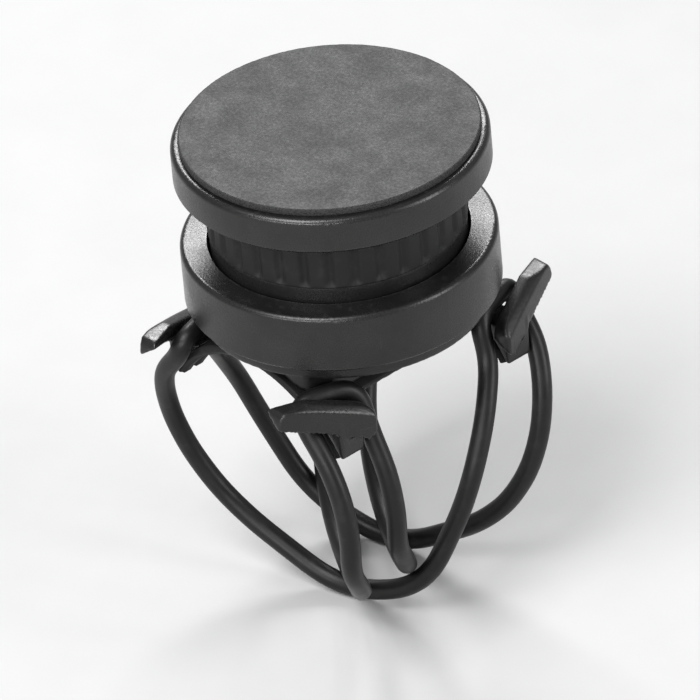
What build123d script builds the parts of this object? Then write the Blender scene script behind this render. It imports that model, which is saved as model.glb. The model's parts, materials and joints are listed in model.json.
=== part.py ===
"""Adhesive phone mount that is strapped on a bicycle stem by two crossing rubber rings.

Millimetres. The origin is on the stem's axis under the middle of the mount, +Z points up to the
phone, +Y forward along the stem and +X to the rider's right.
"""

import os
from math import atan2, cos, degrees, hypot, radians, sin, tan

from build123d import *

os.makedirs("parts", exist_ok=True)

# Stem and saddle
stem_radius = 17.0
pad_thickness = 1.4
saddle_radius = 18.5  # underside of the saddle, round the stem's axis
saddle_web_x = 21.0
saddle_web_y = 31.0
saddle_web_corner = 4.0
saddle_low_z = 10.0
deck_low_z = 19.4
deck_z = 21.4
deck_radius = 18.6
puck_radius = 20.0

# Hooked ears: a neck that the rubber ring goes over, and a lip that holds it there
neck_y = 14.1
neck_width = 3.9
neck_tip_x = 16.2
neck_top_z = 15.3
lip_inner_end = (16.2, 12.0)
lip_outer_end = (12.2, 22.0)
lip_thickness = 2.6
lip_low_z = 11.0
lip_top_z = 18.9
lip_inner_radius = 21.0
lip_outer_radius = 23.4
ear_y = 17.0  # the ears' round-cornered outline, seen from the side
ear_z = 15.6
ear_length = 12.8
ear_height = 5.2
ear_corner = 2.4
ear_slope = 20.0
reach = 40.0  # longer than anything it cuts through

# Saddle pad
pad_foot_width = 4.0
pad_foot_angle = 57.0
pad_web_angle = 38.0

# Rubber rings
ring_thickness = 2.6
strand_half_gap = 3.9
hook_inner_x = 13.0
hook_outer_x = 10.7
hook_z = 17.1
hook_angle = 53.0  # where a ring reaches the stem, from the top round the stem's axis
hook_end_angles = (288.0, 304.0, 320.0)
wrap_step = 18.0
inner_steepness = 1.7  # above 1 a ring keeps straight at first and drifts across later
outer_steepness = 1.0
outer_spread = 3.0  # how far the outer ring's two runs part below the ears
spread_start = 0.25
spread_end = 1.5
crossing_angle = 143.0  # where the outer ring climbs over the inner one
crossing_end_angle = 177.0
landing_angle = 216.0  # where it lies on the stem again
crossing_radius = 22.3
strand_play = 0.1
strand_radius = stem_radius + ring_thickness / 2 + strand_play
bend_share = 0.45  # how much of the shorter run beside a corner its arc may take up

# Housing
housing_top_z = 29.4
housing_floor_z = 23.2
well_radius = 16.6
housing_chamfer = 0.4
housing_rounding = 0.7

# Head: a post with a round plug on top
neck_radius = 11.0
plug_radius = 13.1
plug_low_z = 38.2
head_top_z = 42.6
head_chamfer = 1.0

# Screws up through saddle and housing, and their inserts in the head
screw_grid = 11.0
screw_radius = 1.5
screw_seat_z = 18.3
screw_head_radius = 2.8
screw_head_depth = 1.3
screw_key_radius = 1.0
screw_key_depth = 1.2
screw_top_z = 29.4
screw_end_gap = 0.4
hole_play = 0.1
insert_radius = 2.0
insert_play = 0.05
insert_low_z = 23.4
insert_top_z = 28.2

# Release collar
collar_travel = 2.4
collar_low_z = 27.2
collar_top_z = 38.5
collar_radius = 16.2
collar_bore = 14.0
rim_rounding = 0.5
neck_play = 0.1
shoulder_low_z = 33.0
shoulder_top_z = 34.5
grip_low_z = 31.4
grip_top_z = 37.2
grip_core_radius = 15.2
grip_radius = 16.4
grip_flutes = 32
grip_flute_ring = 16.5
grip_flute_radius = 0.55

# Latches and the cross pins that drive them
latch_travel = 1.2
latch_thickness = 3.0
latch_inner_x = 6.2
leg_outer_x = 10.8
block_outer_x = 12.9
tongue_tip_x = 14.3
latch_low_z = 31.9
block_low_z = 38.5
tongue_low_z = 40.2
latch_top_z = 41.2
pin_x = 8.0
pin_z = 36.0
pin_radius = 0.8
pin_half_length = 12.3
pin_play = 0.05
pin_hole_play = 0.01
channel_play = 0.1
latch_end_gap = 0.3
tongue_lip = 0.3
tongue_chamfer = 0.7

# Adapter that stays on the phone
adapter_low_z = 38.9
adapter_top_z = 43.9
adapter_radius = 20.0
plate_thickness = 1.2
plate_radius = 18.5
plate_bore = plug_radius + 0.1
socket_radius = 14.6
socket_top_z = 42.75
adapter_rounding = 0.8
adapter_chamfer = 0.5
plate_screw_ring = 16.2
plate_screw_count = 6
plate_screw_radius = 0.99
plate_screw_length = 3.4
plate_screw_hole = 1.0
plate_screw_head = 1.8
plate_screw_head_depth = 0.8
plate_screw_key = 0.6
plate_hole_radius = 1.05
plate_sink_radius = 1.85
tape_thickness = 1.0
tape_radius = 19.0

# Spring and soft ring
spring_wire = 0.9
spring_mean_radius = 12.6
spring_turns = 4
spring_end_play = 0.05
seat_thickness = 0.5
seat_outer_radius = 14.6
seat_inner_radius = 11.3
soft_ring_radius = 10.9
soft_ring_section = 0.5
groove_depth = 0.9
groove_play = 0.05


def save(builder, name):
    """Labels a finished piece and writes it."""
    builder.part.label = name
    export_step(builder.part, f"parts/{name}.step")


# ---------------------------------------------------------------- saddle
lip_run = (lip_outer_end[0] - lip_inner_end[0], lip_outer_end[1] - lip_inner_end[1])
lip_middle = (
    (lip_inner_end[0] + lip_outer_end[0]) / 2,
    (lip_inner_end[1] + lip_outer_end[1]) / 2,
)
with BuildPart() as saddle_base:
    with BuildSketch(Plane.XY.offset(lip_low_z)):
        for side_x in (-1, 1):
            for side_y in (-1, 1):
                turn = degrees(atan2(side_y * lip_run[1], side_x * lip_run[0]))
                with Locations((side_x * lip_middle[0], side_y * lip_middle[1])):
                    Rectangle(hypot(*lip_run) + lip_thickness, lip_thickness, rotation=turn)
    extrude(amount=lip_top_z - lip_low_z)
    with BuildSketch(Plane.XZ):
        Circle(lip_outer_radius)
        Circle(lip_inner_radius, mode=Mode.SUBTRACT)
    extrude(amount=reach, both=True, mode=Mode.INTERSECT)
    with BuildSketch(Plane.YZ):
        for side_y in (-1, 1):
            with Locations((side_y * ear_y, ear_z)):
                RectangleRounded(ear_length, ear_height, ear_corner, rotation=side_y * ear_slope)
    extrude(amount=reach, both=True, mode=Mode.INTERSECT)
    with BuildSketch(Plane.XY.offset(saddle_low_z)):
        with GridLocations(neck_tip_x, 2 * neck_y, 2, 2):
            Rectangle(neck_tip_x, neck_width)
    extrude(amount=neck_top_z - saddle_low_z)
    with BuildSketch(Plane.XY.offset(saddle_low_z)):
        RectangleRounded(saddle_web_x, saddle_web_y, saddle_web_corner)
    extrude(amount=deck_low_z - saddle_low_z)
    with BuildSketch(Plane.XY.offset(deck_low_z)):
        Circle(deck_radius)
    extrude(amount=deck_z - deck_low_z)
    with BuildSketch(Plane.XZ):
        Circle(saddle_radius)
    extrude(amount=reach, both=True, mode=Mode.SUBTRACT)
    # Countersunk screw holes from below
    with BuildSketch(Plane.XY.offset(saddle_low_z)):
        with GridLocations(screw_grid, screw_grid, 2, 2):
            Circle(screw_head_radius + hole_play)
    extrude(amount=screw_seat_z - saddle_low_z, mode=Mode.SUBTRACT)
    with BuildSketch(Plane.XY.offset(screw_seat_z)):
        with GridLocations(screw_grid, screw_grid, 2, 2):
            Circle(screw_head_radius + hole_play)
    extrude(amount=screw_head_depth, taper=45, mode=Mode.SUBTRACT)
    with BuildSketch(Plane.XY.offset(screw_seat_z)):
        with GridLocations(screw_grid, screw_grid, 2, 2):
            Circle(screw_radius + hole_play)
    extrude(amount=reach, mode=Mode.SUBTRACT)
save(saddle_base, "saddle_base")

# ---------------------------------------------------------------- pad under the saddle
with BuildPart() as saddle_pad:
    with BuildSketch(Plane.XZ):
        Circle(stem_radius + pad_thickness)
        Circle(stem_radius, mode=Mode.SUBTRACT)
        web_x = reach * sin(radians(pad_web_angle))
        web_z = reach * cos(radians(pad_web_angle))
        with BuildLine():
            Polyline((0, 0), (web_x, web_z), (-web_x, web_z), close=True)
        make_face(mode=Mode.INTERSECT)
    extrude(amount=saddle_web_y / 2, both=True)
    # A foot under each neck
    for side_y in (-1, 1):
        with BuildSketch(Plane.XZ.offset(side_y * neck_y)):
            Circle(stem_radius + pad_thickness)
            Circle(stem_radius, mode=Mode.SUBTRACT)
            foot_x = reach * sin(radians(pad_foot_angle))
            foot_z = reach * cos(radians(pad_foot_angle))
            with BuildLine():
                Polyline((0, 0), (foot_x, foot_z), (-foot_x, foot_z), close=True)
            make_face(mode=Mode.INTERSECT)
        extrude(amount=pad_foot_width / 2, both=True)
save(saddle_pad, "saddle_pad")

# ---------------------------------------------------------------- rubber rings


def ring_corners(side, near_bends, under_bends, steepness, spread):
    """Corners of a ring's centreline, from one ear round under the stem to the opposite ear and back.

    Side is 1 for the ring from the rear right ear, -1 for the one from the front right ear. The bends
    are (angle from the top, distance from the stem's axis), the same on both flanks of the stem.
    """
    far_bends = [(360 - angle, distance) for angle, distance in reversed(near_bends)]
    last_bends = [(angle, near_bends[0][1]) for angle in hook_end_angles]
    half = [(hook_inner_x, strand_half_gap - neck_y, hook_z)]
    for angle, distance in near_bends + under_bends + far_bends[:-2] + last_bends:
        share = max(-1.0, min(1.0, (angle - 180) / (180 - hook_angle)))
        drift = max(-1.0, min(1.0, steepness * share))
        parting = min(1.0, (1 + share) / spread_start, (1 - share) / spread_end)
        y = neck_y * drift + strand_half_gap + spread * parting
        half.append((distance * sin(radians(angle)), y, distance * cos(radians(angle))))
    half.append((-hook_outer_x, neck_y + strand_half_gap, hook_z))
    half = [(x, side * y, z) for x, y, z in half]
    return half + [(-x, -y, z) for x, y, z in half]


def corner_radii(corners):
    """As large an arc at each corner as its two runs allow."""
    radii = []
    for place, corner in enumerate(corners):
        before = Vector(corner) - Vector(corners[place - 1])
        after = Vector(corners[(place + 1) % len(corners)]) - Vector(corner)
        turn = radians(before.get_angle(after))
        radii.append(bend_share * min(before.length, after.length) / tan(turn / 2))
    return radii


wrap = strand_radius / cos(radians(wrap_step / 2))
inner_near = [(hook_angle + wrap_step * step, wrap) for step in range(5)]
inner_under = [(180 + wrap_step * step, wrap) for step in (-2, -1, 0, 1, 2)]
outer_near = [(hook_angle + wrap_step * step, wrap) for step in range(4)]
outer_under = [(angle, crossing_radius) for angle in (crossing_angle, crossing_end_angle)]
outer_under += [(landing_angle + wrap_step * step, wrap) for step in range(2)]
for ring_name, side, near_bends, under_bends, steepness, spread in (
    ("stem_ring_inner", 1, inner_near, inner_under, inner_steepness, 0.0),
    ("stem_ring_outer", -1, outer_near, outer_under, outer_steepness, outer_spread),
):
    corners = ring_corners(side, near_bends, under_bends, steepness, spread)
    with BuildPart() as ring:
        with BuildLine() as centreline:
            FilletPolyline(*corners, radius=corner_radii(corners), close=True)
        # Three sweeps that meet face to face make the closed loop
        runs = centreline.wires()[0].order_edges()
        first_cut = round(len(runs) / 3)
        second_cut = round(2 * len(runs) / 3)
        for stretch in (runs[:first_cut], runs[first_cut:second_cut], runs[second_cut:]):
            path = Wire(stretch)
            with BuildSketch(Plane(path @ 0, z_dir=path % 0)):
                Circle(ring_thickness / 2)
            sweep(path=path)
    print(ring_name, "length", round(centreline.wires()[0].length, 1), "volume", round(ring.part.volume, 1))
    save(ring, ring_name)

# ---------------------------------------------------------------- housing
with BuildPart() as housing:
    with BuildSketch(Plane.XY.offset(deck_z)):
        Circle(puck_radius)
    extrude(amount=housing_top_z - deck_z)
    chamfer(housing.edges().filter_by(GeomType.CIRCLE).sort_by(Axis.Z)[0], housing_chamfer)
    fillet(housing.edges().filter_by(GeomType.CIRCLE).sort_by(Axis.Z)[-1], housing_rounding)
    with BuildSketch(Plane.XY.offset(housing_floor_z)):
        Circle(well_radius)
    extrude(amount=housing_top_z - housing_floor_z, mode=Mode.SUBTRACT)
    with BuildSketch(Plane.XY.offset(deck_z)):
        with GridLocations(screw_grid, screw_grid, 2, 2):
            Circle(screw_radius + hole_play)
    extrude(amount=housing_floor_z - deck_z, mode=Mode.SUBTRACT)
save(housing, "housing")

# ---------------------------------------------------------------- screws and inserts of the base
with BuildPart() as base_screws:
    with BuildSketch(Plane.XY.offset(screw_seat_z)):
        with GridLocations(screw_grid, screw_grid, 2, 2):
            Circle(screw_head_radius)
    extrude(amount=screw_head_depth, taper=45)
    with BuildSketch(Plane.XY.offset(screw_seat_z)):
        with GridLocations(screw_grid, screw_grid, 2, 2):
            Circle(screw_radius)
    extrude(amount=screw_top_z - screw_seat_z)
    with BuildSketch(Plane.XY.offset(screw_seat_z)):
        with GridLocations(screw_grid, screw_grid, 2, 2):
            RegularPolygon(screw_key_radius, 6)
    extrude(amount=screw_key_depth, mode=Mode.SUBTRACT)
save(base_screws, "base_screws")

with BuildPart() as head_inserts:
    with BuildSketch(Plane.XY.offset(insert_low_z)):
        with GridLocations(screw_grid, screw_grid, 2, 2):
            Circle(insert_radius)
            Circle(screw_radius + insert_play, mode=Mode.SUBTRACT)
    extrude(amount=insert_top_z - insert_low_z)
save(head_inserts, "head_inserts")

# ---------------------------------------------------------------- head
with BuildPart() as head:
    with BuildSketch(Plane.XY.offset(housing_floor_z)):
        Circle(neck_radius)
    extrude(amount=plug_low_z - housing_floor_z)
    with BuildSketch(Plane.XY.offset(plug_low_z)):
        Circle(plug_radius)
    extrude(amount=head_top_z - plug_low_z)
    chamfer(head.edges().filter_by(GeomType.CIRCLE).sort_by(Axis.Z)[-1], head_chamfer)
    # Radial channels for the latches
    channel_inner_x = latch_inner_x - latch_travel - latch_end_gap
    with BuildSketch(Plane.XZ):
        for side_x in (-1, 1):
            with Locations((side_x * (channel_inner_x + plug_radius / 2), (latch_low_z + latch_top_z) / 2)):
                Rectangle(plug_radius, latch_top_z - latch_low_z + 2 * channel_play)
    extrude(amount=latch_thickness / 2 + channel_play / 2, both=True, mode=Mode.SUBTRACT)
    # Upright slots for the cross pins
    slot_width = 2 * (pin_radius + pin_play)
    with BuildSketch(Plane.XZ):
        with Locations((-pin_x, pin_z - collar_travel / 2), (pin_x, pin_z - collar_travel / 2)):
            SlotCenterToCenter(collar_travel, slot_width, rotation=90)
    extrude(amount=plug_radius, both=True, mode=Mode.SUBTRACT)
    # Groove for the soft ring
    with BuildSketch(Plane.XY.offset(head_top_z)):
        Circle(soft_ring_radius + soft_ring_section + groove_play)
        Circle(soft_ring_radius - soft_ring_section - groove_play, mode=Mode.SUBTRACT)
    extrude(amount=-groove_depth, mode=Mode.SUBTRACT)
    # Blind holes for inserts and screw ends
    with BuildSketch(Plane.XY.offset(housing_floor_z)):
        with GridLocations(screw_grid, screw_grid, 2, 2):
            Circle(insert_radius)
    extrude(amount=insert_top_z - housing_floor_z, mode=Mode.SUBTRACT)
    with BuildSketch(Plane.XY.offset(insert_top_z)):
        with GridLocations(screw_grid, screw_grid, 2, 2):
            Circle(screw_radius + hole_play)
    extrude(amount=screw_top_z - insert_top_z + screw_end_gap, mode=Mode.SUBTRACT)
save(head, "head")

with BuildPart() as friction_ring:
    with BuildSketch(Plane.XZ):
        with Locations((soft_ring_radius, head_top_z - groove_depth + groove_play + soft_ring_section)):
            Circle(soft_ring_section)
    revolve(axis=Axis.Z)
save(friction_ring, "friction_ring")

# ---------------------------------------------------------------- collar, its spring and its seat
with BuildPart() as spring_seat:
    with BuildSketch(Plane.XY.offset(housing_floor_z)):
        Circle(seat_outer_radius)
        Circle(seat_inner_radius, mode=Mode.SUBTRACT)
    extrude(amount=seat_thickness)
save(spring_seat, "spring_seat")

spring_low_z = housing_floor_z + seat_thickness + spring_wire / 2
spring_height = shoulder_low_z - spring_wire / 2 - spring_low_z
with BuildPart() as collar_spring:
    with BuildLine() as coil:
        Helix(
            pitch=spring_height / spring_turns,
            height=spring_height,
            radius=spring_mean_radius,
            center=(0, 0, spring_low_z),
        )
    with BuildSketch(Plane(coil.line @ 0, z_dir=coil.line % 0)):
        Circle(spring_wire / 2 - spring_end_play)
    sweep(path=coil.line)
save(collar_spring, "collar_spring")

with BuildPart() as collar:
    with BuildSketch(Plane.XY.offset(collar_low_z)):
        Circle(collar_radius)
        Circle(collar_bore, mode=Mode.SUBTRACT)
    extrude(amount=collar_top_z - collar_low_z)
    top_circles = collar.edges().filter_by(GeomType.CIRCLE).group_by(Axis.Z)[-1]
    fillet(top_circles.sort_by(SortBy.RADIUS)[-1], rim_rounding)
    with BuildSketch(Plane.XY.offset(shoulder_low_z)):
        Circle((collar_bore + grip_core_radius) / 2)
        Circle(neck_radius + neck_play, mode=Mode.SUBTRACT)
    extrude(amount=shoulder_top_z - shoulder_low_z)
    with BuildSketch(Plane.XY.offset(grip_low_z)):
        Circle(grip_radius + grip_flute_radius)
        Circle(grip_core_radius, mode=Mode.SUBTRACT)
    extrude(amount=grip_top_z - grip_low_z, mode=Mode.SUBTRACT)
    with BuildSketch(Plane.XZ):
        with Locations((-pin_x, pin_z), (pin_x, pin_z)):
            Circle(pin_radius + pin_hole_play)
    extrude(amount=collar_radius, both=True, mode=Mode.SUBTRACT)
save(collar, "collar")

with BuildPart() as grip_band:
    with BuildSketch(Plane.XY.offset(grip_low_z)):
        Circle(grip_radius)
        Circle(grip_core_radius, mode=Mode.SUBTRACT)
        with PolarLocations(grip_flute_ring, grip_flutes):
            Circle(grip_flute_radius, mode=Mode.SUBTRACT)
    extrude(amount=grip_top_z - grip_low_z)
save(grip_band, "grip_band")

with BuildPart() as cam_pins:
    with BuildSketch(Plane.XZ):
        with Locations((-pin_x, pin_z), (pin_x, pin_z)):
            Circle(pin_radius)
    extrude(amount=pin_half_length, both=True)
save(cam_pins, "cam_pins")

# ---------------------------------------------------------------- latches
for latch_name, side_x in (("latch_left", -1), ("latch_right", 1)):
    outline = (
        (latch_inner_x, latch_low_z),
        (leg_outer_x, latch_low_z),
        (leg_outer_x, block_low_z),
        (block_outer_x, block_low_z),
        (block_outer_x, tongue_low_z),
        (tongue_tip_x, tongue_low_z),
        (tongue_tip_x, tongue_low_z + tongue_lip),
        (tongue_tip_x - tongue_chamfer, latch_top_z),
        (latch_inner_x, latch_top_z),
    )
    cam_turn = degrees(atan2(-collar_travel, side_x * latch_travel))
    with BuildPart() as latch:
        with BuildSketch(Plane.XZ):
            with BuildLine():
                Polyline(*[(side_x * x, z) for x, z in outline], close=True)
            make_face()
            with Locations((side_x * (pin_x + latch_travel / 2), pin_z - collar_travel / 2)):
                SlotCenterToCenter(
                    hypot(latch_travel, collar_travel), slot_width, rotation=cam_turn, mode=Mode.SUBTRACT
                )
        extrude(amount=latch_thickness / 2, both=True)
    save(latch, latch_name)

# ---------------------------------------------------------------- adapter on the phone
plate_top_z = adapter_low_z + plate_thickness
with BuildPart() as adapter_body:
    with BuildSketch(Plane.XY.offset(adapter_low_z)):
        Circle(adapter_radius)
    extrude(amount=adapter_top_z - adapter_low_z)
    fillet(adapter_body.edges().filter_by(GeomType.CIRCLE).sort_by(Axis.Z)[-1], adapter_rounding)
    chamfer(adapter_body.edges().filter_by(GeomType.CIRCLE).sort_by(Axis.Z)[0], adapter_chamfer)
    with BuildSketch(Plane.XY.offset(adapter_low_z)):
        Circle(plate_radius)
    extrude(amount=plate_thickness, mode=Mode.SUBTRACT)
    with BuildSketch(Plane.XY.offset(plate_top_z)):
        Circle(socket_radius)
    extrude(amount=socket_top_z - plate_top_z, mode=Mode.SUBTRACT)
    with BuildSketch(Plane.XY.offset(plate_top_z)):
        with PolarLocations(plate_screw_ring, plate_screw_count):
            Circle(plate_screw_hole)
    extrude(amount=plate_screw_length - plate_thickness + screw_end_gap, mode=Mode.SUBTRACT)
save(adapter_body, "adapter_body")

with BuildPart() as retaining_plate:
    with BuildSketch(Plane.XY.offset(adapter_low_z)):
        Circle(plate_radius)
        Circle(plate_bore, mode=Mode.SUBTRACT)
    extrude(amount=plate_thickness)
    with Locations(Plane((0, 0, adapter_low_z), z_dir=(0, 0, -1))):
        with PolarLocations(plate_screw_ring, plate_screw_count):
            CounterSinkHole(plate_hole_radius, plate_sink_radius, depth=plate_thickness)
save(retaining_plate, "retaining_plate")

with BuildPart() as plate_screws:
    with BuildSketch(Plane.XY.offset(adapter_low_z)):
        with PolarLocations(plate_screw_ring, plate_screw_count):
            Circle(plate_screw_head)
    extrude(amount=plate_screw_head_depth, taper=45)
    with BuildSketch(Plane.XY.offset(adapter_low_z)):
        with PolarLocations(plate_screw_ring, plate_screw_count):
            Circle(plate_screw_radius)
    extrude(amount=plate_screw_length)
    with BuildSketch(Plane.XY.offset(adapter_low_z)):
        with PolarLocations(plate_screw_ring, plate_screw_count):
            RegularPolygon(plate_screw_key, 6)
    extrude(amount=plate_screw_key, mode=Mode.SUBTRACT)
save(plate_screws, "plate_screws")

with BuildPart() as adhesive_pad:
    with BuildSketch(Plane.XY.offset(adapter_top_z)):
        Circle(tape_radius)
    extrude(amount=tape_thickness)
save(adhesive_pad, "adhesive_pad")
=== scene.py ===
"""The looks of a bicycle phone mount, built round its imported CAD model. Metres, Z up.

The mount stands on its own on a pale floor. Its rubber rings keep the shape they have when they are
stretched round a stem. The rubber and foam pieces, the spring and the moulded saddle are new meshes,
the other pieces are the CAD's own, and every piece gets a procedural material.
"""

import json
from math import cos, exp, hypot, pi, radians, sin

import bpy
from mathutils import Matrix, Vector, noise


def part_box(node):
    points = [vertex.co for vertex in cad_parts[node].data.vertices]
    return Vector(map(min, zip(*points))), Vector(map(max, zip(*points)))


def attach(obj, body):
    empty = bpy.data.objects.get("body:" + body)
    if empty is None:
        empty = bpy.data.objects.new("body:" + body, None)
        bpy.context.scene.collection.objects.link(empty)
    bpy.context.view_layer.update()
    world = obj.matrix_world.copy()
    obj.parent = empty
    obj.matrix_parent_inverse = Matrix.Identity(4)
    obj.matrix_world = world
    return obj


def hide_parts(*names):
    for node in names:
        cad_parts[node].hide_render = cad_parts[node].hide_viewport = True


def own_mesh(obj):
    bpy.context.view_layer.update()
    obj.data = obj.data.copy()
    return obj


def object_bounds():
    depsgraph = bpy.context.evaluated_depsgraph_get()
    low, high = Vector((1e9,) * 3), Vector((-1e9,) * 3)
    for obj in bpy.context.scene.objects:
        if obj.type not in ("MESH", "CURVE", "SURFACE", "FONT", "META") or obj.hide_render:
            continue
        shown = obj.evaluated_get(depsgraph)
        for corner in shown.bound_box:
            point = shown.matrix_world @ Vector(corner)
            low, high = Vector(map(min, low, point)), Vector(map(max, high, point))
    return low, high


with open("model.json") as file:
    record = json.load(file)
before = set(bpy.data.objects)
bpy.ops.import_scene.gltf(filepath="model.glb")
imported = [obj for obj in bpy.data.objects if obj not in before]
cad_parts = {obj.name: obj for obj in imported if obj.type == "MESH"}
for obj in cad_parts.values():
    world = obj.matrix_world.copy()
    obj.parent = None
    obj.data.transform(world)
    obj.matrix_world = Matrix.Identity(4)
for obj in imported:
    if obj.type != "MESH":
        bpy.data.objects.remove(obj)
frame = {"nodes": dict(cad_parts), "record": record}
cad_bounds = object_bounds()
nodes = frame["nodes"]
mounts = {mount["name"]: mount for mount in frame["record"]["mounts"]}
slot_of = {part["node"]: part["material_slot"] for part in frame["record"]["subparts"]}
MM = 0.001

# ---------------------------------------------------------------- materials


class Shader:
    """A material's node tree, with short ways to add nodes and link them."""

    def __init__(self, name, colour, roughness, metallic=0.0):
        self.material = bpy.data.materials.new(name)
        self.material.use_nodes = True
        self.tree = self.material.node_tree
        self.principled = self.tree.nodes["Principled BSDF"]
        self.principled.inputs["Base Color"].default_value = (*colour, 1)
        self.principled.inputs["Roughness"].default_value = roughness
        self.principled.inputs["Metallic"].default_value = metallic
        self.place = self.node("ShaderNodeTexCoord").outputs["Object"]

    def node(self, kind, inputs=(), **settings):
        made = self.tree.nodes.new(kind)
        for key, value in settings.items():
            setattr(made, key, value)
        for key, value in dict(inputs).items():
            if isinstance(value, bpy.types.NodeSocket):
                self.tree.links.new(value, made.inputs[key])
            else:
                made.inputs[key].default_value = value
        return made

    def link(self, output, socket):
        self.tree.links.new(output, self.principled.inputs[socket])

    def noise(self, size, detail=3.0, stretch=(1, 1, 1), roughness=0.55):
        """Noise with features of about that size in metres."""
        place = self.node("ShaderNodeMapping", {"Vector": self.place, "Scale": stretch}).outputs[0]
        made = self.node(
            "ShaderNodeTexNoise",
            {"Vector": place, "Scale": 1 / size, "Detail": detail, "Roughness": roughness},
        )
        return made.outputs["Fac"]

    def cells(self, size):
        """Distance from the middle of the nearest cell of about that size in metres."""
        made = self.node("ShaderNodeTexVoronoi", {"Vector": self.place, "Scale": 1 / size})
        return made.outputs["Distance"]

    def ramp(self, value, low, high, start=0.0, end=1.0):
        """Value carried from low..high to start..end, clamped."""
        made = self.node(
            "ShaderNodeMapRange",
            {"Value": value, "From Min": low, "From Max": high, "To Min": start, "To Max": end},
        )
        return made.outputs[0]

    def maths(self, operation, first, second):
        return self.node("ShaderNodeMath", {0: first, 1: second}, operation=operation).outputs[0]

    def specular(self, level):
        self.principled.inputs["Specular IOR Level"].default_value = level

    def mix(self, share, first, second):
        made = self.node("ShaderNodeMix", data_type="RGBA")
        # A mix node's colour sockets come after those of its other data types
        share_socket, first_socket, second_socket = (made.inputs[place] for place in (0, 6, 7))
        for socket, value in ((share_socket, share), (first_socket, first), (second_socket, second)):
            if isinstance(value, bpy.types.NodeSocket):
                self.tree.links.new(value, socket)
            elif socket == share_socket:
                socket.default_value = value
            else:
                socket.default_value = (*value, 1)
        return made.outputs[2]

    def edges(self, width):
        """1 along sharp edges, 0 on flat and curved faces."""
        rounded = self.node("ShaderNodeBevel", {"Radius": width}, samples=6).outputs[0]
        true_normal = self.node("ShaderNodeNewGeometry").outputs["Normal"]
        facing = self.node("ShaderNodeVectorMath", {0: rounded, 1: true_normal}, operation="DOT_PRODUCT")
        return self.ramp(facing.outputs["Value"], 0.995, 0.85)

    def upward(self):
        """1 on level faces that look up, 0 on walls and undersides."""
        normal = self.node("ShaderNodeNewGeometry").outputs["Normal"]
        height = self.node("ShaderNodeSeparateXYZ", {"Vector": normal}).outputs["Z"]
        return self.ramp(height, 0.8, 0.97)

    def bump(self, height, distance, under=None):
        """A normal raised by height times distance, on top of the normal under it."""
        inputs = {"Height": height, "Distance": distance, "Strength": 1.0}
        if under is not None:
            inputs["Normal"] = under
        return self.node("ShaderNodeBump", inputs).outputs[0]


def scaled(colour, factor, lift=0.0):
    """The colour made that many times as bright, and lifted by a flat amount."""
    return [c * factor + lift for c in colour]


def moulded(name, colour, roughness, grain=0.00028, grain_depth=0.000022):
    """Black moulded plastic: spark-eroded grain, uneven gloss, hairline scratches, and edges rubbed paler."""
    blotch_size = 0.009
    edge_width = 0.0005
    rub_size = 0.0014
    wear = 0.6
    scratch_size = 0.0006
    slanted_scratch_size = 0.0007
    scratched_area = 0.005
    scratch_strength = 0.35
    dust_size = 0.0009
    shader = Shader(name, colour, roughness)
    blotches = shader.noise(blotch_size, 4)
    speckle = shader.noise(grain, 2)
    edge = shader.edges(edge_width)
    broken = shader.maths("MULTIPLY", edge, shader.ramp(shader.noise(rub_size, 5), 0.38, 0.6))
    worn = shader.maths("MULTIPLY", broken, wear)
    across = shader.ramp(shader.noise(scratch_size, 4, stretch=(0.08, 0.08, 5)), 0.66, 0.7)
    slanted = shader.ramp(shader.noise(slanted_scratch_size, 3, stretch=(4, 0.5, 0.1)), 0.68, 0.72)
    scratch = shader.maths("MAXIMUM", across, slanted)
    scratch = shader.maths("MULTIPLY", scratch, shader.ramp(shader.noise(scratched_area, 3), 0.45, 0.65))
    rubbed = scaled(colour, 3.2, 0.022)
    base = shader.mix(shader.ramp(blotches, 0.35, 0.65), scaled(colour, 0.65), scaled(colour, 1.5))
    dust = shader.ramp(shader.noise(dust_size, 6), 0.55, 0.8, 0.0, 0.4)
    dust = shader.maths("MULTIPLY", shader.upward(), dust)
    base = shader.mix(dust, base, scaled(colour, 1, 0.035))
    base = shader.mix(shader.maths("MULTIPLY", scratch, scratch_strength), base, rubbed)
    shader.link(shader.mix(worn, base, rubbed), "Base Color")
    gloss = shader.ramp(blotches, 0.3, 0.7, roughness + 0.07, roughness - 0.07)
    gloss = shader.maths("ADD", gloss, shader.ramp(speckle, 0.3, 0.7, -0.06, 0.08))
    gloss = shader.maths("SUBTRACT", gloss, shader.maths("MULTIPLY", worn, 0.12))
    gloss = shader.maths("SUBTRACT", gloss, shader.maths("MULTIPLY", scratch, 0.08))
    shader.link(gloss, "Roughness")
    shader.link(shader.bump(speckle, grain_depth), "Normal")
    shader.specular(0.4)
    return shader.material


def rubber(name, colour, roughness):
    """Matte elastic rubber with a slight bloom and talc left in patches."""
    bloom_size = 0.006
    grain = 0.0005
    fine_grain = 0.00012
    talc_size = 0.0022
    grain_depth = 0.000014
    shader = Shader(name, colour, roughness)
    bloom = shader.noise(bloom_size, 5)
    skin = shader.noise(grain, 3)
    fine = shader.noise(fine_grain, 2)
    base = shader.mix(shader.ramp(bloom, 0.38, 0.66), scaled(colour, 0.75), colour)
    talc = shader.ramp(shader.noise(talc_size, 5), 0.55, 0.75, 0.0, 0.5)
    shader.link(shader.mix(talc, base, scaled(colour, 1, 0.012)), "Base Color")
    shader.link(shader.ramp(bloom, 0.3, 0.7, roughness - 0.06, roughness + 0.08), "Roughness")
    normal = shader.bump(skin, grain_depth)
    shader.link(shader.bump(fine, grain_depth * 0.4, under=normal), "Normal")
    shader.specular(0.28)
    return shader.material


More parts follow.
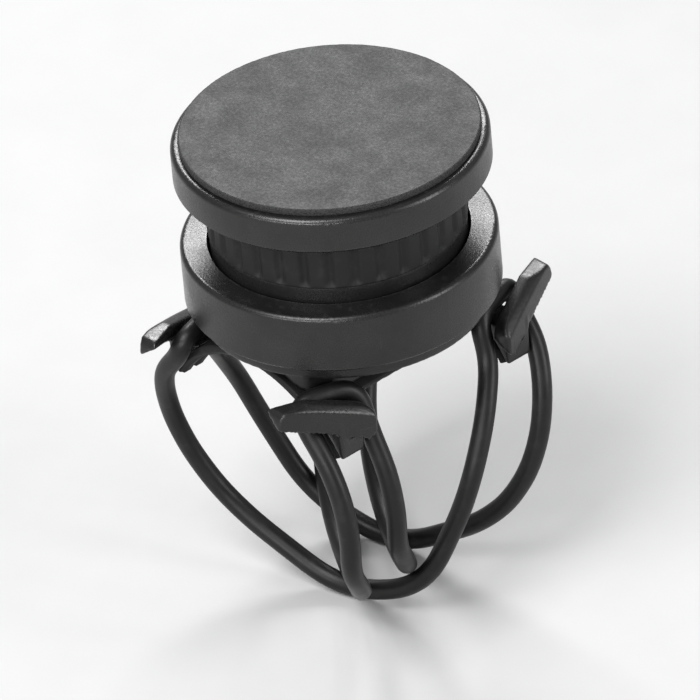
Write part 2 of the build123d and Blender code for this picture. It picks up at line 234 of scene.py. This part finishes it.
def foam(name, colour):
    """Closed-cell foam tape: cells show in the cut edge, and a thin tacky film lies over the top."""
    cell_size = 0.00022
    pressed_size = 0.004
    lint_size = 0.0007
    lint_colour = (0.06, 0.06, 0.058)
    smear_size = 0.0004
    film_wave = 0.0009
    cell_depth = 0.00006
    wave_depth = 0.00003
    wall_roughness = 0.85
    shader = Shader(name, colour, 0.7)
    cells = shader.ramp(shader.cells(cell_size), 0.1, 0.6)
    top = shader.upward()
    pressed = shader.ramp(shader.noise(pressed_size, 6, roughness=0.6), 0.35, 0.65)
    walls = shader.mix(cells, scaled(colour, 0.6), scaled(colour, 1.5, 0.004))
    film = shader.mix(pressed, scaled(colour, 0.9), scaled(colour, 1.25))
    lint = shader.ramp(shader.noise(lint_size, 8, stretch=(1, 3, 1)), 0.67, 0.74, 0.0, 0.25)
    film = shader.mix(lint, film, lint_colour)
    shader.link(shader.mix(top, walls, film), "Base Color")
    smears = shader.ramp(shader.noise(smear_size, 3), 0.3, 0.7, -0.05, 0.07)
    film_gloss = shader.maths("ADD", shader.ramp(pressed, 0.0, 1.0, 0.6, 0.52), smears)
    wall_gloss = shader.maths("MULTIPLY", shader.maths("SUBTRACT", 1.0, top), wall_roughness)
    shader.link(shader.maths("ADD", shader.maths("MULTIPLY", film_gloss, top), wall_gloss), "Roughness")
    # The film hides most of the cells
    showing = shader.maths("SUBTRACT", 1.0, shader.maths("MULTIPLY", top, 0.7))
    normal = shader.bump(shader.maths("MULTIPLY", cells, showing), cell_depth)
    shader.link(shader.bump(shader.noise(film_wave, 4), wave_depth, under=normal), "Normal")
    shader.specular(0.3)
    return shader.material


def steel(name, colour, roughness):
    """Bright steel with drawn or turned lines and faint stains."""
    line_size = 0.0009
    line_stretch = (1, 1, 14)
    line_depth = 0.000004
    stain_size = 0.004
    shader = Shader(name, colour, roughness, metallic=1.0)
    lines = shader.noise(line_size, 6, stretch=line_stretch, roughness=0.7)
    stain = shader.noise(stain_size, 4)
    shader.link(shader.mix(shader.ramp(stain, 0.35, 0.7), colour, scaled(colour, 0.72)), "Base Color")
    shader.link(shader.ramp(lines, 0.3, 0.7, roughness - 0.08, roughness + 0.12), "Roughness")
    shader.link(shader.bump(lines, line_depth), "Normal")
    return shader.material


black = (0.0080, 0.0075, 0.0074)
materials = {
    "moulded_plastic": moulded("satin_black_plastic", black, 0.3),
    "base_plastic": moulded("saddle_plastic", (0.0070, 0.0066, 0.0065), 0.34, grain=0.00034),
    "acetal": moulded("acetal", (0.012, 0.012, 0.0125), 0.33, grain=0.0004, grain_depth=0.000005),
    "rubber": rubber("ring_rubber", (0.0060, 0.0057, 0.0056), 0.42),
    "pad_rubber": rubber("pad_rubber", (0.009, 0.009, 0.0094), 0.66),
    "grip_rubber": rubber("grip_rubber", (0.009, 0.009, 0.0094), 0.6),
    "plate_steel": steel("plate_steel", (0.56, 0.57, 0.58), 0.3),
    "screw_steel": steel("plated_steel", (0.42, 0.42, 0.43), 0.3),
    "black_screw": steel("blackened_steel", (0.05, 0.05, 0.053), 0.34),
    "pin_steel": steel("ground_steel", (0.6, 0.6, 0.61), 0.22),
    "spring_steel": steel("spring_wire", (0.5, 0.5, 0.51), 0.28),
    "brass": steel("brass", (0.72, 0.56, 0.27), 0.26),
    "foam_tape": foam("foam_tape", (0.014, 0.014, 0.0145)),
}


def paint(piece, slot):
    """Gives the piece that slot's material, on every face."""
    piece.data.materials.clear()
    piece.data.materials.append(materials[slot])


for name, node in nodes.items():
    paint(node, slot_of[name])

# ---------------------------------------------------------------- ways to make meshes


def make_mesh(name, vertices, faces, sharp_from=40):
    """A smooth-shaded mesh from millimetres, with edges kept sharp above that angle."""
    mesh = bpy.data.meshes.new(name)
    mesh.from_pydata([Vector(v) * MM for v in vertices], [], faces)
    mesh.validate()
    mesh.shade_smooth()
    mesh.set_sharp_from_angle(angle=radians(sharp_from))
    return mesh


def add_piece(name, mesh, body, stands_for):
    """A new piece that rides on a body and stands for a CAD node."""
    piece = bpy.data.objects.new(name, mesh)
    bpy.context.scene.collection.objects.link(piece)
    paint(piece, slot_of[stands_for])
    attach(piece, body)
    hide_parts(stands_for)
    return piece


def joined(rows, columns, wrap_rows):
    """Quads between the points of a grid, row by row, whose last column meets its first."""
    faces = []
    for row in range(rows if wrap_rows else rows - 1):
        for column in range(columns):
            here, over = row * columns, (row + 1) % rows * columns
            beside = (column + 1) % columns
            faces.append((here + column, here + beside, over + beside, over + column))
    return faces


def tube(path, closed, sides, section):
    """Vertices and faces of a tube round the path. Section gives the radius at an angle."""
    count = len(path)
    if closed:
        along = [(path[(i + 1) % count] - path[i - 1]).normalized() for i in range(count)]
    else:
        along = [(path[min(i + 1, count - 1)] - path[max(i - 1, 0)]).normalized() for i in range(count)]
    across = along[0].orthogonal().normalized()
    first = across
    carried = []
    for direction in along + along[:1]:
        across = (across - direction * across.dot(direction)).normalized()
        carried.append(across)
    twist = 0.0
    if closed:
        twist = carried[-1].angle(first)
        if along[0].dot(carried[-1].cross(first)) < 0:
            twist = -twist
    vertices = []
    for place in range(count):
        turned = Matrix.Rotation(twist * place / count, 3, along[place])
        side = turned @ carried[place]
        up = along[place].cross(side)
        for step in range(sides):
            angle = 2 * pi * step / sides
            vertices.append(path[place] + section(angle) * (side * cos(angle) + up * sin(angle)))
    faces = joined(count, sides, closed)
    if not closed:
        faces.append(tuple(range(sides - 1, -1, -1)))
        faces.append(tuple(range((count - 1) * sides, count * sides)))
    return vertices, faces


def turned(profile, segments, radius):
    """Vertices and faces of a closed profile of (radius, height) turned round Z.

    Radius gives the real radius at a (radius, height, angle).
    """
    vertices = []
    for step in range(segments):
        angle = 2 * pi * step / segments
        for r, z in profile:
            reach = radius(r, z, angle)
            vertices.append((reach * cos(angle), reach * sin(angle), z))
    return vertices, joined(segments, len(profile), True)


def bend(start, corner, end, steps):
    """Points of an arc-like bend from start to end, pulled towards the corner."""
    shares = [step / steps for step in range(steps + 1)]
    return [start * (1 - t) ** 2 + corner * 2 * t * (1 - t) + end * t**2 for t in shares]


def rounded(corners, radius):
    """A closed outline whose corners are bends that take that much of each side."""
    outline = []
    for place, corner in enumerate(corners):
        corner = Vector(corner)
        before = corner + (Vector(corners[place - 1]) - corner).normalized() * radius
        after = corner + (Vector(corners[(place + 1) % len(corners)]) - corner).normalized() * radius
        outline += [tuple(point) for point in bend(before, corner, after, 6)]
    return outline


def evenly(points, step):
    """Points spaced evenly round a closed polyline."""
    runs = list(zip(points, points[1:] + points[:1]))
    length = sum((b - a).length for a, b in runs)
    count = round(length / step)
    spacing = length / count
    spaced, travelled, target = [], 0.0, 0.0
    for a, b in runs:
        run = (b - a).length
        while target <= travelled + run and len(spaced) < count:
            spaced.append(a.lerp(b, (target - travelled) / run if run else 0.0))
            target += spacing
        travelled += run
    return spaced


def remeshed(node, voxel, passes):
    """A copy of a CAD node's mesh with its edges rounded over, as a moulding's are."""
    copy = bpy.data.objects.new("remesh", nodes[node].data.copy())
    bpy.context.scene.collection.objects.link(copy)
    remesh = copy.modifiers.new("remesh", "REMESH")
    remesh.mode = "VOXEL"
    remesh.voxel_size = voxel * MM
    smooth = copy.modifiers.new("smooth", "SMOOTH")
    smooth.factor = 0.5
    smooth.iterations = passes
    ready = copy.evaluated_get(bpy.context.evaluated_depsgraph_get())
    mesh = bpy.data.meshes.new_from_object(ready)
    bpy.data.objects.remove(copy)
    mesh.shade_smooth()
    return mesh


# ---------------------------------------------------------------- rubber rings, in millimetres
stem_radius = mounts["stem_clamp"]["dims"]["r_mm"]
ring_thickness = 2.6
strand_play = 0.1
strand_radius = stem_radius + ring_thickness / 2 + strand_play
strand_half_gap = 3.9
neck_y = 14.1
hook_inner_x = 13.0
hook_outer_x = 10.7
hook_z = 17.1
hook_angle = 53.0  # where a ring reaches the stem, from the top round the stem's axis
hook_end_angles = (288, 304, 320)
wrap_step = 18.0
inner_steepness = 1.7  # above 1 a ring keeps straight at first and drifts across later
outer_steepness = 1.0
outer_spread = 3.0  # how far the outer ring's two runs part below the ears
spread_start = 0.25
spread_end = 1.5
crossing_angle = 143.0  # where the outer ring climbs over the inner one
crossing_end_angle = 177.0
landing_angle = 216.0  # where it lies on the stem again
crossing_radius = 22.3
bend_share = 0.45  # how much of the shorter run beside a corner its bend takes up
path_step = 0.5
smoothing_passes = 5
flash_width = 0.16  # radians
flash_height = 0.028  # as a share of the radius


def ring_path(side, near_bends, under_bends, steepness, spread):
    """A ring's centreline, from one ear round under the stem to the opposite ear and back."""
    far_bends = [(360 - angle, distance) for angle, distance in reversed(near_bends)]
    last_bends = [(angle, near_bends[0][1]) for angle in hook_end_angles]
    half = [(hook_inner_x, strand_half_gap - neck_y, hook_z)]
    for angle, distance in near_bends + under_bends + far_bends[:-2] + last_bends:
        share = max(-1.0, min(1.0, (angle - 180) / (180 - hook_angle)))
        drift = max(-1.0, min(1.0, steepness * share))
        parting = min(1.0, (1 + share) / spread_start, (1 - share) / spread_end)
        y = neck_y * drift + strand_half_gap + spread * parting
        half.append((distance * sin(radians(angle)), y, distance * cos(radians(angle))))
    half.append((-hook_outer_x, neck_y + strand_half_gap, hook_z))
    corners = [Vector((x, side * y, z)) for x, y, z in half]
    corners += [Vector((-x, -y, z)) for x, y, z in corners]
    points = []
    for place, corner in enumerate(corners):
        before = corners[place - 1] - corner
        after = corners[(place + 1) % len(corners)] - corner
        reach = bend_share * min(before.length, after.length)
        start = corner + before.normalized() * reach
        end = corner + after.normalized() * reach
        points += bend(start, corner, end, 8)
    path = evenly(points, path_step)
    for _ in range(smoothing_passes):
        following = path[1:] + path[:1]
        path = [path[i] * 0.5 + (path[i - 1] + following[i]) * 0.25 for i in range(len(path))]
    return path


def ring_section(angle):
    """A round section with the mould's fine parting line on two sides."""
    from_seams = [(angle - seam + pi) % (2 * pi) - pi for seam in (pi / 2, 3 * pi / 2)]
    flash = sum(exp(-((gap / flash_width) ** 2)) for gap in from_seams)
    return ring_thickness / 2 * (0.995 + flash_height * flash)


wrap = strand_radius / cos(radians(wrap_step / 2))
inner_near = [(hook_angle + wrap_step * step, wrap) for step in range(5)]
inner_under = [(180 + wrap_step * step, wrap) for step in (-2, -1, 0, 1, 2)]
outer_near = [(hook_angle + wrap_step * step, wrap) for step in range(4)]
outer_under = [(angle, crossing_radius) for angle in (crossing_angle, crossing_end_angle)]
outer_under += [(landing_angle + wrap_step * step, wrap) for step in range(2)]
for name, node, side, near_bends, under_bends, steepness, spread in (
    ("ring_inner", "stem_ring_inner", 1, inner_near, inner_under, inner_steepness, 0.0),
    ("ring_outer", "stem_ring_outer", -1, outer_near, outer_under, outer_steepness, outer_spread),
):
    path = ring_path(side, near_bends, under_bends, steepness, spread)
    add_piece(name, make_mesh(name, *tube(path, True, 32, ring_section)), "base", node)

# ---------------------------------------------------------------- saddle and its pad


def add_saddle():
    """The moulded saddle, with its edges rounded over."""
    add_piece("saddle_moulding", remeshed("saddle_base", 0.22, 8), "base", "saddle_base")


def add_pad():
    """The rubber pad, with grip ribs across its underside where it lies on the stem."""
    rib_pitch = 2.0
    rib_depth = 0.35
    rib_flat = 0.1
    skin = 0.6  # only this much above the stem is cut by the grooves
    mesh = remeshed("saddle_pad", 0.2, 7)
    for vertex in mesh.vertices:
        x, y, z = vertex.co / MM
        out = hypot(x, z)
        inside = max(0.0, 1 - (out - stem_radius) / skin)
        groove = max(0.0, cos(2 * pi * y / rib_pitch) - rib_flat) ** 0.5
        lift = rib_depth * groove * min(1.0, inside * 1.5)
        vertex.co = Vector((x * (out + lift) / out, y, z * (out + lift) / out)) * MM
    pad = add_piece("stem_pad", mesh, "base", "saddle_pad")


add_saddle()
add_pad()

# ---------------------------------------------------------------- collar's grip and spring


def millimetres(node):
    """A CAD node's lowest and highest corners."""
    return [Vector(corner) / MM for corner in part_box(node)]


def add_grip():
    """The soft band round the collar, with flutes that run out before its edges."""
    low, high = millimetres("grip_band")
    outer = high.x
    inner = outer - 1.2
    rounding = 0.35
    profile_step = 0.3
    flutes = 32
    flute_depth = 0.45
    plain_rim = 0.3
    run_out = 0.9
    corners = [(inner, low.z), (outer, low.z), (outer, high.z), (inner, high.z)]
    profile = []
    outline = rounded(corners, rounding)
    for place, point in enumerate(outline):
        profile.append(point)
        following = outline[(place + 1) % len(outline)]
        if point[0] > outer - 0.1 and following[0] > outer - 0.1:
            pieces = 1 + int(abs(following[1] - point[1]) / profile_step)
            for step in range(1, pieces):
                profile.append((point[0], point[1] + (following[1] - point[1]) * step / pieces))

    def fluted(r, z, angle):
        if r < outer - 0.3:
            return r
        fade = min(1.0, max(0.0, min(z - low.z, high.z - z) - plain_rim) / run_out)
        groove = max(0.0, cos(flutes * angle)) ** 1.5
        return r - flute_depth * groove * (fade * (2 - fade)) ** 0.5

    mesh = make_mesh("grip_sleeve", *turned(profile, flutes * 12, fluted))
    add_piece("grip_sleeve", mesh, "collar_group", "grip_band")


def add_spring():
    """A compression spring with closed and ground ends."""
    low, high = millimetres("collar_spring")
    seat_z = millimetres("spring_seat")[1].z
    shoulder_z = high.z + 0.05
    wire = 0.42  # radius
    mean = high.x - wire
    coils = 4.0
    points_each = 72
    closed_rise = 0.9
    open_rise = 1.9  # on top of a closed coil's
    closed_turns = 0.55
    opening_turns = 0.4
    rises = []
    for step in range(int(coils * points_each)):
        turns = step / points_each
        from_end = min(turns, coils - turns)
        opened = max(0.0, min(1.0, (from_end - closed_turns) / opening_turns))
        rises.append(closed_rise + open_rise * opened)
    end_depth = 0.25  # from either end to the middle of the ground wire
    scale = (shoulder_z - seat_z - 2 * end_depth) / sum(rises)
    z = seat_z + end_depth
    path = []
    for step in range(len(rises) + 1):
        angle = 2 * pi * step / points_each
        path.append(Vector((mean * cos(angle), mean * sin(angle), z)))
        z += rises[min(step, len(rises) - 1)] * scale
    vertices, faces = tube(path, False, 14, lambda angle: wire)
    ground = [(x, y, min(shoulder_z, max(seat_z, height))) for x, y, height in vertices]
    spring = add_piece("coil_spring", make_mesh("coil_spring", ground, faces), "base", "collar_spring")
    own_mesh(spring)


def add_soft_ring():
    """The soft ring in the head's top groove."""
    low, high = millimetres("friction_ring")
    section = (high.z - low.z) / 2
    mean = high.x - section
    steps = 240
    turns = [2 * pi * step / steps for step in range(steps)]
    path = [Vector((mean * cos(a), mean * sin(a), low.z + section)) for a in turns]
    mesh = make_mesh("soft_ring", *tube(path, True, 20, lambda angle: section))
    add_piece("soft_ring", mesh, "base", "friction_ring")


add_grip()
add_spring()
add_soft_ring()

# ---------------------------------------------------------------- foam tape


def add_tape():
    """The disc of foam tape: a die-cut edge that bulges a little, and a top that isn't quite even."""
    low, high = millimetres("adhesive_pad")
    radius, thickness = high.x, high.z - low.z
    segments = 288
    edge_steps = 10
    top_steps = 44
    edge_bulge = 0.14
    profile = [(radius * (step / top_steps) ** 0.8, high.z) for step in range(1, top_steps)]
    for step in range(edge_steps + 1):
        share = step / edge_steps
        bulge = edge_bulge * (1 - (2 * share - 1) ** 2) ** 0.5
        profile.append((radius - edge_bulge + bulge, high.z - thickness * share))
    profile.append((radius * 0.5, low.z))
    vertices = [(0, 0, high.z)]
    for step in range(segments):
        angle = 2 * pi * step / segments
        for r, z in profile:
            seed = Vector((r * cos(angle), r * sin(angle), z))
            rough = noise.noise(seed * 2.2) + 0.5 * noise.noise(seed * 5.1)
            uneven = noise.noise(Vector((seed.x, seed.y, 3.0)) * 0.16)
            if r > radius - 0.3:
                r -= 0.035 * (1 + rough)
            if z > high.z - 0.2:
                z -= 0.02 * (1 + uneven) + 0.012 * (1 + rough)
            vertices.append((r * cos(angle), r * sin(angle), z))
    vertices[0] = (0, 0, vertices[1][2])
    vertices.append((0, 0, low.z))
    columns = len(profile)
    faces = []
    for step in range(segments):
        here, over = 1 + step * columns, 1 + (step + 1) % segments * columns
        faces.append((0, here, over))
        for column in range(columns - 1):
            faces.append((here + column, here + column + 1, over + column + 1, over + column))
        faces.append((here + columns - 1, len(vertices) - 1, over + columns - 1))
    mesh = make_mesh("foam_disc", vertices, faces, sharp_from=60)
    tape = add_piece("foam_disc", mesh, "adapter", "adhesive_pad")


add_tape()

# ---------------------------------------------------------------- floor, lights and camera
low, high = (Vector(corner) for corner in cad_bounds)
middle = (low + high) / 2
floor_gap = 0.0001
floor_z = low.z - floor_gap


def add_floor():
    """A pale sweep of card that the mount stands on."""
    mesh = bpy.data.meshes.new("floor")
    half = 3.0
    corners = [(-half, -half, 0), (half, -half, 0), (half, half, 0), (-half, half, 0)]
    mesh.from_pydata(corners, [], [(0, 1, 2, 3)])
    floor = bpy.data.objects.new("floor", mesh)
    floor.location = (0, 0, floor_z)
    bpy.context.scene.collection.objects.link(floor)
    shader = Shader("floor_card", (0.44, 0.44, 0.437), 0.8)
    clouds = shader.ramp(shader.noise(0.02, 4), 0.3, 0.7)
    shader.link(shader.mix(clouds, (0.43, 0.43, 0.427), (0.45, 0.45, 0.447)), "Base Color")
    shader.link(shader.bump(shader.noise(0.0006, 3), 0.00001), "Normal")
    floor.data.materials.append(shader.material)


def add_light(name, place, size, power):
    """A soft white area light aimed at the mount's middle, with its place from there in metres."""
    data = bpy.data.lights.new(name, "AREA")
    data.shape = "RECTANGLE"
    data.size, data.size_y = size
    data.energy = power
    lamp = bpy.data.objects.new(name, data)
    lamp.location = middle + Vector(place)
    lamp.rotation_euler = (middle - lamp.location).to_track_quat("-Z", "Y").to_euler()
    bpy.context.scene.collection.objects.link(lamp)


def add_camera():
    """The camera: right of and behind the mount, looking down on it, a little rolled."""
    place = Vector((0.9842, -0.8047, 0.8602))
    roll = radians(-5.33)
    data = bpy.data.cameras.new("camera")
    data.sensor_width = 36.0
    framed = 0.088  # the width in view at the mount
    data.lens = data.sensor_width * (place - middle).length / framed
    data.clip_end = 20
    camera = bpy.data.objects.new("camera", data)
    look = (middle - place).to_track_quat("-Z", "Y").to_matrix().to_4x4()
    camera.matrix_world = Matrix.Translation(place) @ look @ Matrix.Rotation(roll, 4, "Z")
    bpy.context.scene.collection.objects.link(camera)
    bpy.context.scene.camera = camera


add_floor()
add_light("key", (0.1, -0.6, 1.0), (0.6, 0.6), 14)
add_light("side", (0.8, 0.4, 0.35), (0.25, 0.7), 5)
add_light("back", (-0.6, 0.5, 0.6), (0.6, 0.2), 9)
add_light("strip", (0.35, -0.85, 0.3), (0.9, 0.07), 6)
add_camera()
world = bpy.data.worlds.new("studio")
world.use_nodes = True
world.node_tree.nodes["Background"].inputs["Color"].default_value = (0.95, 0.96, 1.0, 1)
world.node_tree.nodes["Background"].inputs["Strength"].default_value = 0.4
bpy.context.scene.world = world
bpy.context.scene.view_settings.view_transform = "Standard"
